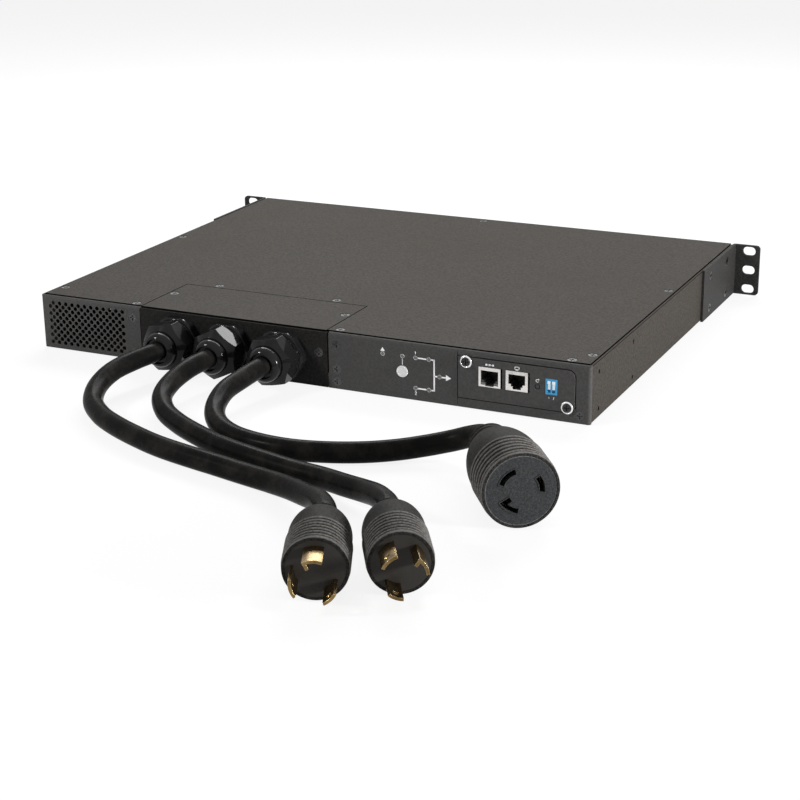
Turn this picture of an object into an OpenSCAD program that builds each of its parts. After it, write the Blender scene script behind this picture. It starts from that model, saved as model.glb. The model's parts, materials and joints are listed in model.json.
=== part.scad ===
// Rack static transfer switch: a one-unit steel case with three glanded cords.
// Millimetres. The origin is the centre of the case's underside, +Z is up,
// -Y is the connection side and +X is to the right seen from there.

/* [Case] */
// Width of the case between its outer side faces
chassis_w = 438; // [430:1:442]
// Depth of the case from the connection side to the rear wall
chassis_d = 344; // [320:1:400]
// Height of the case
chassis_h = 42; // [41.4:0.1:43.6]
// Thickness of the folded sheet of the tray and the panels
sheet_t = 1.5; // [1.2:0.1:1.8]
// Thickness of the top cover and of the wiring lid
cover_t = 1.5; // [1.2:0.1:2]
// Inside radius of the folds
bend_in = 0.5; // [0.3:0.1:0.8]
// Width of the flanges that carry the covers
flange_w = 12; // [11:0.5:14]
// Width of the tray's front flanges
front_flange_w = 10; // [9:0.5:10]
// Gap round the lid
lid_gap = 0.8; // [0.5:0.1:1]
// Gap between neighbouring front panels
panel_gap = 0.6; // [0.4:0.1:0.8]
// Height of the panels' lower edge above the underside
panel_foot = 0.3; // [0.2:0.1:0.6]
// Depth of the fold round the front panels' outer edges
panel_lip = 2.5; // [2.4:0.1:3]
// Gap between the cover and the folds and walls round it
seam_gap = 0.4; // [0.3:0.1:0.6]
// Height of the cover's upper face above the folds and walls round it
cover_rise = 0.8; // [0.5:0.1:1.2]

/* [Wiring compartment] */
// Width of the compartment outside
box_w = 155; // [154:0.5:158]
// Depth of the compartment inside
box_d = 65; // [62:0.5:70]
// Width of the strips that carry the front panels' screws, each side of a wall
strip_w = 14; // [12.5:0.5:14]
// Height of the holes for the leads in the compartment's rear wall
lead_hole_h = 7; // [6:0.5:9]

/* [Vent] */
// Diameter of one vent hole
vent_hole_d = 3.3; // [2.8:0.1:3.6]
// Pitch of the vent holes in a row
vent_pitch = 5.6; // [5.4:0.1:6]
// Number of rows, not counting the staggered ones between
vent_rows = 6; // [4:1:6]
// Distance of the first hole from the case's side
vent_margin = 8; // [7:0.5:9]
// Width left without holes beside the compartment, for the screws
vent_plain_w = 14; // [13:0.5:16]
// Height of the lowest row
vent_z = 5; // [4.5:0.5:6]

/* [Rack ears] */
// Distance that an ear reaches out from the side of the case
ear_reach = 22.3; // [21:0.1:23]
// Distance of the slots' centres from the ear's outer edge
slot_inset = 8.75; // [8.5:0.05:9]
// Height between the outer slots
slot_rise = 31.75; // [31:0.05:32]
// Length of a slot
slot_l = 10.4; // [9:0.1:11]
// Width of a slot
slot_w = 7.2; // [6.5:0.1:7.4]
// Thickness of an ear
ear_t = 2; // [1.5:0.1:2.5]
// Length of an ear along the side of the case
ear_leg = 91; // [70:1:110]
// Distance that an ear stands out past the rear wall
ear_proud = 2; // [2:0.1:4]
// Clearance of the ears above and below
ear_clear = 0.2; // [0.1:0.1:0.5]
// Radius of the ears' outer corners
ear_corner_r = 3; // [1:0.5:5]

/* [Screws] */
// Diameter of the case screws
screw_d = 3.5; // [3:0.1:3.6]
// Head diameter of the case screws
screw_head_d = 6.6; // [6:0.1:6.8]
// Head height of the case screws
screw_head_h = 1.2; // [1:0.1:1.2]
// Depth of the screws' heads below the sheet's face
screw_sink = 0.2; // [0.1:0.05:0.25]
// Length of the case screws
screw_l = 6; // [5:0.5:7]
// Diameter of the ear screws
ear_screw_d = 4; // [3:0.1:4.2]
// Head diameter of the ear screws
ear_screw_head_d = 7; // [6:0.1:7.4]
// Radial clearance of a screw in a panel
screw_clear = 0.15; // [0.1:0.05:0.2]
// Radial clearance of a screw in its tapped hole
tap_clear = 0.04; // [0.02:0.01:0.06]
// Diameter of the spare threaded holes in the sides
side_hole_d = 3.4; // [3:0.1:4]

/* [Display] */
// Width of the display, from the compartment to the card
display_w = 100; // [98:0.5:104]
// Radius of the round push button
button_r = 4.15; // [3.5:0.05:4.5]
// Distance that the button stands out
button_proud = 1; // [0.9:0.1:1.5]
// Travel of the round button
button_travel = 0.8; // [0.5:0.1:0.9]
// Distance of the button from the card
button_inset = 42; // [40:0.5:44]
// Height of the button
button_z = 20; // [18:0.5:22]
// Radius of an indicator
lamp_r = 1.25; // [1:0.05:1.4]
// Clearance round moving and inserted pieces
fit = 0.15; // [0.1:0.05:0.2]
// Length of the spacers under the boards
spacer_l = 6; // [5:0.5:6.5]
// Thickness of the circuit boards
board_t = 1.6; // [1.2:0.1:1.7]

/* [Communication card] */
// Width of the faceplate
card_w = 84; // [83:0.5:85]
// Distance of the faceplate from the case's right side
card_inset = 11; // [10.8:0.1:11.5]
// Lower edge of the faceplate
card_z0 = 7.3; // [6:0.1:7.6]
// Upper edge of the faceplate
card_z1 = 36.5; // [36:0.1:37]
// Radius of the faceplate's right-hand corners
card_corner_r = 5; // [3:0.5:6]
// Gap round the faceplate
card_gap = 0.8; // [0.5:0.1:0.9]
// Distance that the faceplate stands out
card_proud = 0.5; // [0.3:0.1:1]
// Depth of the card's cage
cage_d = 112; // [100:1:125]
// Thickness of the cage's sheet
cage_t = 1.2; // [1:0.1:1.4]
// Height of the top of the card's board
card_board_z = 17.4; // [17.2:0.1:17.6]
// Width of a data jack
jack_w = 15.9; // [15.5:0.1:16.2]
// Height of a data jack
jack_h = 13.8; // [13.4:0.1:14.2]
// Depth of a data jack
jack_d = 21; // [18:0.5:24]
// Travel of the recessed button
reset_travel = 0.4; // [0.2:0.1:0.6]
// Travel of a switch slider
slider_travel = 2; // [1.5:0.1:2.2]

/* [Glands] */
// Distance of the first gland from the compartment's left side
gland_inset = 33; // [30:0.5:36]
// Distance from the first gland to the second
gland_step_a = 42; // [41:0.5:44]
// Distance from the second gland to the third
gland_step_b = 44; // [42:0.5:46]
// Height of the glands
gland_z = 20.5; // [20.4:0.1:20.9]
// Width across flats of the gland body
gland_body_af = 35; // [33:0.5:35]
// Thickness of the gland body's hexagon
gland_body_h = 6.5; // [5:0.5:8]
// Width across flats of the gland nut
gland_nut_af = 33; // [31:0.5:33]
// Length of the nut's hexagon
gland_nut_h = 15; // [12:0.5:17]
// Length of the nut's round nose
gland_nose_h = 7.5; // [6:0.5:9]
// Radius of the ring round the nose
gland_nose_r = 12.8; // [12.4:0.1:13.6]
// Radius of the nose's mouth
gland_mouth_r = 9.2; // [8.8:0.1:9.6]
// Radius of the thread that goes through the panel
gland_thread_r = 12.5; // [12:0.1:12.6]

/* [Cords and plugs] */
// Diameter of a cord
cord_d = 14; // [13:0.5:14]
// Length of a plug, from the cord to its face
plug_l = 69; // [64:0.5:74]
// Radius of a plug's grip
plug_r = 18.5; // [18:0.1:18.5]
// Length of the connector
connector_l = 78; // [72:0.5:84]
// Radius of the connector's grip
connector_r = 23.5; // [23:0.1:23.5]
// Radius of the circle of blades
blade_circle_r = 12.4; // [11.5:0.1:13]
// Thickness of a blade
blade_t = 1.7; // [1.5:0.1:1.8]
// Length of a blade in front of the plug's face
blade_l = 18; // [15:0.5:19]

/* [Power section] */
// Distance of the heat sink from the side of the case
sink_inset = 5; // [4:0.5:7]
// Length of the heat sink
sink_l = 150; // [145:1:170]
// Height of the heat sink's fins
fin_h = 27; // [20:0.5:30]
// Thickness of a fin
fin_t = 1.6; // [1.2:0.1:2]
// Distance between fins
fin_pitch = 6; // [5:0.1:6.4]
// Width of a terminal block
block_w = 30; // [28:0.5:32]
// Height of a terminal block
block_h = 18; // [16:0.5:20]
// Radius of an insulated lead
lead_r = 1.9; // [1.6:0.05:2]

/* [Hidden] */

$fn = 48;

left = -chassis_w / 2;
right = chassis_w / 2;
front = -chassis_d / 2;
back = chassis_d / 2;
tray_top = chassis_h - cover_t;
wall_top = chassis_h - cover_rise;
frame_y = panel_lip + seam_gap; // depth where the tray and the cover start
card_x1 = right - card_inset;  // right and left sides of the card's faceplate
card_x0 = card_x1 - card_w;
box_x1 = card_x0 - display_w;  // right and left sides of the wiring compartment
box_x0 = box_x1 - box_w;
button_x = card_x0 - button_inset;
rack_w = chassis_w + 2 * ear_reach;
slot_span = rack_w - 2 * slot_inset;
bend_r = bend_in + sheet_t;
cut = 1;                       // overshoot of a cutting tool past a face

case_black = "#4b4a46";
panel_black = "#454444";
nylon_black = "#202022";
rubber_black = "#2c2c2c";
steel = "#b9bcc0";
lead_colours = ["#20201f", "#d8d8d4", "#2f7a3f"];
brass_yellow = "#c9a24a";
board_green = "#2d5a3c";

// ---------- shared shapes ----------

// An angle section: leg a along x, leg b along y, with its outside corner at the origin.
module angle_section(a, b, t, r) {
  translate([r, 0]) square([a - r, t]);
  translate([0, r]) square([t, b - r]);
  intersection() {
    square(r);
    translate([r, r]) difference() {
      circle(r);
      circle(r - t);
    }
  }
}

// Runs a section drawn in y and z along x, from x0 to x1.
module along_x(x0, x1) translate([x0, 0, 0]) rotate([90, 0, 90]) linear_extrude(x1 - x0) children();

// Runs a section drawn in x and z along y, from y0 to y1.
module along_y(y0, y1) translate([0, y1, 0]) rotate([90, 0, 0]) linear_extrude(y1 - y0) children();

// A block given by its two corners.
module block(a, b) translate(a) cube(b - a);

// Puts a piece on the connection side: its +Z points out of the panel, and depth is
// how far behind the front plane its origin lies.
module on_front(x, z, depth = 0) translate([x, front + depth, z]) rotate([90, 0, 0]) children();

// Rectangle with its two right-hand corners rounded.
module d_plate(x0, x1, z0, z1, r) {
  translate([x0, z0]) square([x1 - x0 - r, z1 - z0]);
  translate([x0, z0 + r]) square([x1 - x0, z1 - z0 - 2 * r]);
  for (z = [z0 + r, z1 - r]) translate([x1 - r, z]) circle(r);
}

// A slot with round ends, centred on the origin.
module slot_shape(l, w) {
  square([l - w, w], center = true);
  for (s = [-1, 1]) translate([s * (l - w) / 2, 0]) circle(w / 2);
}

// A square with one rounded corner, which would lie at the origin.
module rounded_corner(a, b, r) {
  translate([r, 0]) square([a - r, b]);
  translate([0, r]) square([a, b - r]);
  translate([r, r]) circle(r);
}

// A flat-head screw with a cross recess. Its head lies just below z = 0, and it points down.
module flat_screw(d, head_d, head_h, l) translate([0, 0, -screw_sink]) {
  recess_w = head_d * 0.15;
  recess_l = head_d * 0.62;
  difference() {
    union() {
      translate([0, 0, -head_h]) cylinder(d1 = d, d2 = head_d, h = head_h);
      translate([0, 0, -l]) cylinder(d = d, h = l);
    }
    for (a = [0, 90]) rotate(a) translate([-recess_l / 2, -recess_w / 2, -head_h * 0.7])
      cube([recess_l, recess_w, head_h]);
  }
}

// The countersunk hole for that screw.
module flat_screw_hole(d, head_d, head_h) translate([0, 0, -screw_sink]) {
  translate([0, 0, -head_h]) cylinder(d1 = d + 2 * screw_clear, d2 = head_d + 2 * screw_clear, h = head_h);
  cylinder(d = head_d + 2 * screw_clear, h = screw_sink + cut);
  translate([0, 0, -head_h - 2 * cut]) cylinder(d = d + 2 * screw_clear, h = 2 * cut + head_h / 2);
}

module case_screw() flat_screw(screw_d, screw_head_d, screw_head_h, screw_l);
module case_screw_hole() flat_screw_hole(screw_d, screw_head_d, screw_head_h);
module case_tap() translate([0, 0, -screw_l - cut]) cylinder(d = screw_d + 2 * tap_clear, h = screw_l);

// ---------- screw places ----------

side_screw_y = [22, 190];      // from the connection side
strip_screw = strip_w / 2;     // from a compartment wall
panel_flange = flange_w;       // depth of the panels' top flanges
box_flange_y = 2 * sheet_t + 1; // depth where the compartment's side flanges start
lid_ledge = 5;                 // depth of the ledge under the lid's rear edge

// x and depth of the screws in the top cover
cover_screws = [
  [box_x0 - strip_screw, panel_flange / 2 + 1], [box_x1 + strip_screw, panel_flange / 2 + 1],
  [right - flange_w - 4, panel_flange / 2 + 1],
  for (y = side_screw_y) [left + flange_w / 2 + 1, y],
  for (y = side_screw_y) [right - flange_w / 2 - 1, y],
  [0, chassis_d - flange_w / 2],
  [box_x0 + 26, box_d + 6], [box_x1 - 29, box_d + 6]
];
// x and depth of the screws in the lid
lid_screws = [[box_x0 + 5, 40], [box_x1 - 6, 40]];
// x and height of the screws in each front panel
vent_screws = [[box_x0 - strip_screw, 32.2], [box_x0 - strip_screw, 5.6]];
gland_screws = [[box_x1 - strip_screw, 25.4], [box_x0 + strip_screw, 5.6]];
corner_screw = [right - sheet_t - front_flange_w / 2 - 1, 5.8];
display_screws = [for (z = [32.5, 14.7, 5.6]) [box_x1 + strip_screw, z]];
// depth and height of the ear screws, and of the spare threaded holes
ear_screw_y = [chassis_d + ear_proud - ear_leg + 19, chassis_d + ear_proud - ear_leg + 65];
side_hole_y = [16, 87.5];
side_z = [6.8, 33];

module on_top(places) for (p = places) translate([p.x, front + p.y, chassis_h]) children();
module on_panel(places) for (p = places) on_front(p.x, p.y) children();

// ---------- case ----------

// Half section of the tray: the floor, the side wall and the flange that carries the cover.
module tray_half() {
  mirror([1, 0]) translate([-chassis_w / 2, 0])
    angle_section(chassis_w / 2, wall_top, sheet_t, bend_r);
  translate([chassis_w / 2 - flange_w, tray_top - sheet_t]) square([flange_w - sheet_t / 2, sheet_t]);
}

module side_holes(ys, d) for (s = [-1, 1]) for (y = ys) for (z = side_z)
  translate([s * (chassis_w / 2 - sheet_t / 2), front + y, z]) rotate([0, 90, 0])
    cylinder(d = d, h = 2 * sheet_t, center = true);

module chassis_tray() color(case_black) difference() {
  union() {
    along_y(front + frame_y, back) {
      tray_half();
      mirror([1, 0]) tray_half();
    }
    along_x(left + bend_r, right - bend_r) translate([back, tray_top]) mirror([1, 0]) mirror([0, 1])
      angle_section(flange_w, tray_top, sheet_t, bend_r);
    // joggled flanges behind the front panels
    for (s = [0, 1]) mirror([s, 0, 0]) {
      block([right - sheet_t - front_flange_w, front + sheet_t, sheet_t / 2],
            [right - sheet_t - fit, front + frame_y + sheet_t / 2, wall_top - sheet_t - fit]);
      block([right - 2 * sheet_t, front + frame_y, sheet_t / 2],
            [right - sheet_t / 2, front + frame_y + sheet_t, tray_top - sheet_t / 2]);
    }
  }
  on_top(cover_screws) case_tap();
  on_panel([corner_screw]) case_tap();
  side_holes(side_hole_y, side_hole_d);
  side_holes(ear_screw_y, ear_screw_d + 2 * tap_clear);
}

module top_cover() color(case_black) difference() {
  block([left + sheet_t + seam_gap, front + frame_y, tray_top],
        [right - sheet_t - seam_gap, back, chassis_h]);
  block([lid_x0 - lid_gap, front - cut, tray_top - cut],
        [lid_x1 + lid_gap, front + box_d + lid_gap, chassis_h + cut]);
  on_top(cover_screws) case_screw_hole();
}

lid_x0 = box_x0 + 1;
lid_x1 = box_x1 - sheet_t;

module wiring_lid() color("#504f4a") difference() {
  block([lid_x0, front + sheet_t + seam_gap, tray_top], [lid_x1, front + box_d, chassis_h]);
  on_top(lid_screws) case_screw_hole();
}

// Partition round the wiring compartment, with flanges under the lid and the cover.
module wiring_box() color(case_black) difference() {
  union() {
    for (x = [box_x0, box_x1 - sheet_t])
      block([x, front + 2 * sheet_t, sheet_t], [x + sheet_t, front + box_d + sheet_t, tray_top]);
    block([box_x0, front + box_d, sheet_t], [box_x1, front + box_d + sheet_t, tray_top]);
    // flanges under the lid's sides, under the cover beside them, and behind
    for (x = [box_x0, box_x1 - flange_w])
      block([x, front + box_flange_y, tray_top - sheet_t], [x + flange_w, front + box_d, tray_top]);
    block([box_x0 - flange_w / 2, front + panel_flange + cut, tray_top - sheet_t],
          [box_x1 + flange_w / 2, front + panel_flange + 2 * flange_w, tray_top]);
    block([box_x0, front + box_d - lid_ledge, tray_top - sheet_t],
          [box_x1, front + box_d + flange_w, tray_top]);
    // strips behind the front panels
    for (x = [box_x0, box_x1])
      block([x - strip_w, front + sheet_t, sheet_t],
            [x + strip_w, front + 2 * sheet_t, tray_top - bend_r - sheet_t]);
  }
  // the compartment is open between its side flanges
  block([box_x0 + flange_w, front, tray_top - 2 * sheet_t],
        [box_x1 - flange_w, front + box_d - lid_ledge, chassis_h]);
  on_top(concat(cover_screws, lid_screws)) case_tap();
  on_panel(concat(vent_screws, gland_screws, display_screws)) case_tap();
  for (x = gland_x)
    block([x - block_w / 2 + 1, front + box_d - cut, lead_z - lead_hole_h / 2],
          [x + block_w / 2 - 1, front + box_d + sheet_t + cut, lead_z + lead_hole_h / 2]);
}

// A front panel from x0 to the case's right side, folded over its top and its right edge,
// with a flange under the cover.
module corner_panel(x0) {
  difference() {
    intersection() {
      block([x0, front, panel_foot], [right, front + panel_lip, wall_top]);
      along_x(x0, right) translate([front, wall_top]) mirror([0, 1])
        rounded_corner(panel_lip, wall_top, bend_r);
      translate([right, front, 0]) mirror([1, 0, 0]) linear_extrude(wall_top)
        rounded_corner(right - x0, panel_lip, bend_r);
    }
    block([x0 - cut, front + sheet_t, -cut], [right - sheet_t, front + panel_lip + cut, wall_top - sheet_t]);
  }
  block([x0, front + sheet_t / 2, tray_top - sheet_t],
        [right - flange_w - panel_gap, front + panel_flange, tray_top]);
}

// Centres of the vent holes: rows in x and z, with a staggered row between each two.
vent_cols = floor((box_x0 - left - vent_margin - vent_plain_w) / vent_pitch + 0.5);
vent_points = [for (i = [0:vent_cols - 1]) for (j = [0:vent_rows - 1]) for (k = [0, 1])
  [left + vent_margin + (i + k / 2) * vent_pitch, vent_z + (j + k / 2) * vent_pitch]];

module vent_panel() color(panel_black) difference() {
  mirror([1, 0, 0]) corner_panel(-box_x0 + panel_gap / 2);
  for (p = vent_points) on_front(p.x, p.y, 2 * sheet_t) cylinder(d = vent_hole_d, h = 3 * sheet_t, $fn = 24);
  on_panel(vent_screws) case_screw_hole();
  on_top(cover_screws) case_tap();
}

module gland_panel() color(panel_black) difference() {
  block([box_x0 + panel_gap / 2, front, panel_foot],
        [box_x1 - panel_gap / 2, front + sheet_t, wall_top - seam_gap]);
  for (x = gland_x) on_front(x, gland_z, 2 * sheet_t) cylinder(r = gland_thread_r + fit, h = 3 * sheet_t);
  on_panel(gland_screws) case_screw_hole();
}

// Indicators: distance from the button and height of each
lamp_steps = [[-15, 31], [0, 31], [10, 31], [20, 31], [20, 9], [10, 9], [28, 19.5]];
lamps = [for (p = lamp_steps) [button_x + p.x, p.y]];

// The display panel's left edge is cut back above its foot.
side_notch_w = 0.7;
side_notch_z = 11.3;
groove_w = 0.5;

module display_panel() color(panel_black) difference() {
  corner_panel(box_x1 + panel_gap / 2);
  block([box_x1, front - cut, side_notch_z],
        [box_x1 + panel_gap / 2 + side_notch_w, front + 2 * sheet_t, chassis_h]);
  along_y(front - cut, front + sheet_t + cut)
    d_plate(card_x0 - card_gap, card_x1 + card_gap, card_z0 - card_gap, card_z1 + card_gap,
            card_corner_r + card_gap);
  // groove in line with the faceplate's left edge
  block([card_x0 - card_gap, front - cut, 0], [card_x0 - card_gap + groove_w, front + groove_w, chassis_h]);
  on_panel(lamps) cylinder(r = lamp_r + fit, h = 4 * sheet_t, center = true);
  on_front(button_x, button_z) cylinder(r = button_r + fit, h = 4 * sheet_t, center = true);
  on_panel(concat(display_screws, [corner_screw])) case_screw_hole();
  on_top(cover_screws) case_tap();
}

module case_screws() color(steel) {
  on_top(concat(cover_screws, lid_screws)) case_screw();
  on_panel(concat(vent_screws, gland_screws, display_screws, [corner_screw])) case_screw();
}

// ---------- rack ears ----------

ear_h = chassis_h - 2 * ear_clear;
ear_head_h = ear_t * 0.9;

module on_ear() for (y = ear_screw_y) for (z = side_z)
  translate([right + ear_t, front + y, z]) rotate([0, 90, 0]) children();

module ear() difference() {
  intersection() {
    translate([right, back + ear_proud, ear_clear]) mirror([0, 1, 0]) linear_extrude(ear_h)
      angle_section(rack_w / 2 - right, ear_leg, ear_t, ear_t + bend_in);
    along_y(front, back + ear_proud + cut)
      d_plate(right - cut, rack_w / 2, ear_clear, ear_clear + ear_h, ear_corner_r);
  }
  for (k = [-1, 0, 1]) along_y(back - ear_t, back + ear_proud + cut)
    translate([slot_span / 2, chassis_h / 2 + k * slot_rise / 2]) slot_shape(slot_l, slot_w);
  on_ear() flat_screw_hole(ear_screw_d, ear_screw_head_d, ear_head_h);
}

module right_ear() color(case_black) ear();
module left_ear() color(case_black) mirror([1, 0, 0]) ear();

module ear_screws() color(steel) for (s = [0, 1]) mirror([s, 0, 0])
  on_ear() flat_screw(ear_screw_d, ear_screw_head_d, ear_head_h, ear_t + sheet_t + 3);

// ---------- display ----------

board_front = sheet_t + spacer_l;      // depth of the front of the display board
display_x0 = button_x - 24;
display_x1 = button_x + 36;
display_z0 = 3;
display_z1 = 37;
display_spacers = [for (x = [display_x0 + 4, display_x1 - 4])
  for (z = [display_z0 + 11, display_z1 - 11]) [x, z]];
switch_h = 3.2;                        // height of a push switch on its board
switch_w = 6;
stem_r = 1.6;

module display_board() color(board_green)
  block([display_x0, front + board_front, display_z0],
        [display_x1, front + board_front + board_t, display_z1]);

// The indicators' light pipes, and the two windows in the lower corners of the network jack.
module light_pipes() color("#d8dcdc") {
  on_panel(lamps) {
    translate([0, 0, -board_front]) cylinder(r = lamp_r, h = board_front + 0.1);
    translate([0, 0, -board_front]) cylinder(r = lamp_r + 0.6, h = 1.5);
  }
  on_front(jack_x[0], jack_z) jack_windows(0);
}

module push_switch(stem) difference() {
  translate([-switch_w / 2, -switch_w / 2, 0]) cube([switch_w, switch_w, switch_h]);
  translate([0, 0, cut / 2]) cylinder(r = stem + 0.1, h = switch_h);
}

module test_switch() color(nylon_black) on_front(button_x, button_z, board_front) push_switch(stem_r);

// The stem ends above the bottom of the switch's hole, with room for the travel.
button_edge = 0.3;
button_dish_r = button_r - 0.9;
button_flange_t = 0.8;
module test_button() color("#c9cbcb") on_front(button_x, button_z) {
  difference() {
    union() {
      translate([0, 0, -sheet_t]) cylinder(r = button_r, h = sheet_t + button_proud - button_edge);
      translate([0, 0, button_proud - button_edge])
        cylinder(r1 = button_r, r2 = button_r - button_edge, h = button_edge);
    }
    translate([0, 0, button_proud - button_edge]) cylinder(r = button_dish_r, h = cut);
  }
  translate([0, 0, -sheet_t - fit - button_flange_t]) cylinder(r = button_r + 0.9, h = button_flange_t);
  translate([0, 0, -sheet_t - fit - button_flange_t]) cylinder(r = button_r, h = 1);
  translate([0, 0, cut / 2 + 0.1 + button_travel - board_front])
    cylinder(r = stem_r, h = board_front - sheet_t - button_travel - 1);
}

// ---------- communication card ----------

cage_x0 = card_x0 - 2.5;
cage_x1 = card_x1 + 1.6;
cage_front = frame_y + sheet_t / 2 + 0.2;
cage_top = tray_top - 4;
cage_foot_w = 5;
cage_tab = 5;                    // reach of a tab round its captive screw
jack_x = [card_x0 + 23.2, card_x0 + 42.9];
jack_z = card_board_z + jack_h / 2;
reset_x = card_x0 + 57.5;
reset_z = card_board_z + 5;
reset_r = 1.5;
dip_x = card_x0 + 67.5;
dip_z = card_board_z + 6.2;
dip_w = 8.4;
dip_h = 11;
dip_depth = 3.8;
slider_w = 2;
slider_h = 6;
slider_t = 1.5;
slider_step = 1.6;               // distance of a slider from the switch's middle
captive = [[card_x0 + 6.3, card_z1 - 2.8], [card_x1 - 4.8, 11]];
captive_r = 4.4;
jack_gap = 1.2;                  // gap at the right of a jack in the faceplate

module card_faceplate() color(panel_black) difference() {
  along_y(front - card_proud, front - card_proud + sheet_t)
    d_plate(card_x0, card_x1, card_z0, card_z1, card_corner_r);
  for (x = jack_x) on_front(x, jack_z) translate([-jack_w / 2 - fit, -jack_h / 2 - fit, -3])
    cube([jack_w + fit + jack_gap, jack_h + 2 * fit, 6]);
  on_front(reset_x, reset_z) cylinder(r = reset_r + 0.5, h = 6, center = true);
  on_front(dip_x, dip_z) translate([-dip_w / 2 - fit, -dip_h / 2 - fit, -3])
    cube([dip_w + 2 * fit, dip_h + 2 * fit, 6]);
  on_panel(captive) cylinder(d = screw_d + 4 * screw_clear, h = 6, center = true);
}

module captive_screws() color(steel) on_panel(captive) translate([0, 0, card_proud]) difference() {
  union() {
    cylinder(r = captive_r, h = 1.6);
    translate([0, 0, 1.6]) cylinder(r1 = captive_r, r2 = captive_r - 0.5, h = 0.5);
    translate([0, 0, -card_proud - cage_front - 4]) cylinder(d = screw_d, h = card_proud + cage_front + 4);
  }
  translate([0, 0, 1.4]) difference() {
    cylinder(r = captive_r - 1, h = 1);
    translate([0, 0, -cut]) cylinder(r = captive_r - 1.4, h = 3);
  }
  for (a = [0, 90]) rotate(a) translate([-2.1, -0.45, 0.9]) cube([4.2, 0.9, 2]);
}

module card_board() color(board_green)
  block([cage_x0 + cage_t + 2, front + cage_front + cage_t + 0.3, card_board_z - board_t],
        [cage_x1 - cage_t - 2, front + cage_d - 2, card_board_z]);

module card_cage() color(steel) difference() {
  union() {
    for (x = [cage_x0, cage_x1 - cage_t])
      block([x, front + cage_front, sheet_t], [x + cage_t, front + cage_d + cage_t, cage_top]);
    block([cage_x0, front + cage_d, sheet_t], [cage_x1, front + cage_d + cage_t, cage_top]);
    // feet on the floor of the tray
    for (x = [cage_x0 - cage_foot_w, cage_x1 - cage_t])
      block([x, front + cage_front + 15, sheet_t],
            [x + cage_foot_w + cage_t, front + cage_d + cage_t, sheet_t + cage_t]);
    // tabs for the captive screws
    block([cage_x0, front + cage_front, captive[0].y - cage_tab],
          [captive[0].x + cage_tab, front + cage_front + cage_t, cage_top]);
    block([captive[1].x - cage_tab, front + cage_front, captive[1].y - cage_tab],
          [cage_x1, front + cage_front + cage_t, card_board_z - board_t - 0.4]);
  }
  on_panel(captive) translate([0, 0, -cage_front - 3]) cylinder(d = screw_d + 2 * tap_clear, h = 4);
}

module card_guides() color("#2a2a2c") difference() {
  for (x = [cage_x0 + cage_t, cage_x1 - cage_t - 3.5])
    block([x, front + cage_front + cage_t + 2, card_board_z - 5],
          [x + 3.5, front + cage_d - 4, card_board_z + 3]);
  block([cage_x0 + cage_t + 1.9, front, card_board_z - board_t - 0.1],
        [cage_x1 - cage_t - 1.9, front + cage_d, card_board_z + 0.1]);
}

// The opening of a data jack: a wide upper part and two steps for the latch.
module jack_mouth() {
  translate([-6, -jack_h / 2 + 4.6]) square([12, 6.8]);
  translate([-4.2, -jack_h / 2 + 2.9]) square([8.4, 2]);
  translate([-3, -jack_h / 2 + 1.1]) square([6, 2]);
}

jack_wall = 0.5;
jack_front = card_proud + 0.4;
jack_lip = 0.6;                  // thickness of a shell's front wall
window_w = 2.9;
window_h = 1.3;

// The network jack's shell has a wider opening, with a notch below for the latch.
module wide_mouth() {
  translate([-6.3, -jack_h / 2 + 1.4]) square([12.6, jack_h - 3.7]);
  translate([-3, -jack_h / 2 + 0.6]) square([6, 2]);
}

// Indicator windows in a jack's lower corners, larger all round by the given clearance.
module jack_windows(clear) for (s = [-1, 1])
  translate([s * (3.3 + window_w / 2) - window_w / 2 - clear, -jack_h / 2 + 1.6 - clear, jack_front - 3])
    cube([window_w + 2 * clear, window_h + 2 * clear, 3 - jack_lip / 2]);

module jack(x) on_front(x, jack_z) difference() {
  translate([-jack_w / 2, -jack_h / 2, jack_front - jack_d]) cube([jack_w, jack_h, jack_d]);
  translate([-jack_w / 2 + jack_wall, -jack_h / 2 + jack_wall, jack_front - jack_d - cut])
    cube([jack_w - 2 * jack_wall, jack_h - 2 * jack_wall, jack_d + cut - jack_lip]);
  translate([0, 0, -3]) linear_extrude(6) children();
}

module network_jack() color(steel) jack(jack_x[0]) wide_mouth();
module local_jack() color(steel) jack(jack_x[1]) jack_mouth();

module jack_inserts() color(nylon_black) for (x = jack_x) on_front(x, jack_z) difference() {
  translate([-jack_w / 2 + jack_wall, -jack_h / 2 + jack_wall, jack_front - jack_d])
    cube([jack_w - 2 * jack_wall, jack_h - 2 * jack_wall, jack_d - jack_lip]);
  translate([0, 0, jack_front - 13]) linear_extrude(14) jack_mouth();
  if (x == jack_x[0]) jack_windows(0.05);
  // slots for the contacts, above the mouth
  for (k = [-3.5:3.5]) translate([k * contact_pitch - 0.3, jack_h / 2 - 2.6, jack_front - 12])
    cube([0.6, 1.3, 10.6]);
}

contact_pitch = 1.02;

// Eight spring wires in each jack, which slope down into the mouth towards the back.
module jack_contacts() color(brass_yellow) for (x = jack_x) on_front(x, jack_z)
  for (k = [-3.5:3.5]) translate([k * contact_pitch, jack_h / 2 - 1.5, jack_front - 2.2]) rotate([-13, 0, 0])
    translate([-0.22, -0.35, -9.3]) cube([0.44, 0.35, 9.3]);

reset_y = 8;                     // depth of the back of the recessed switch
module reset_switch() color(nylon_black) {
  on_front(reset_x, reset_z, reset_y) push_switch(reset_r);
  block([reset_x - switch_w / 2, front + reset_y - switch_h, card_board_z],
        [reset_x + switch_w / 2, front + reset_y, reset_z - switch_w / 2 + 0.5]);
}

module reset_button() color("#1c1c1e") on_front(reset_x, reset_z)
  translate([0, 0, cut / 2 + 0.1 + reset_travel - reset_y])
    cylinder(r = reset_r, h = reset_y - 0.4 - reset_travel);

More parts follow.
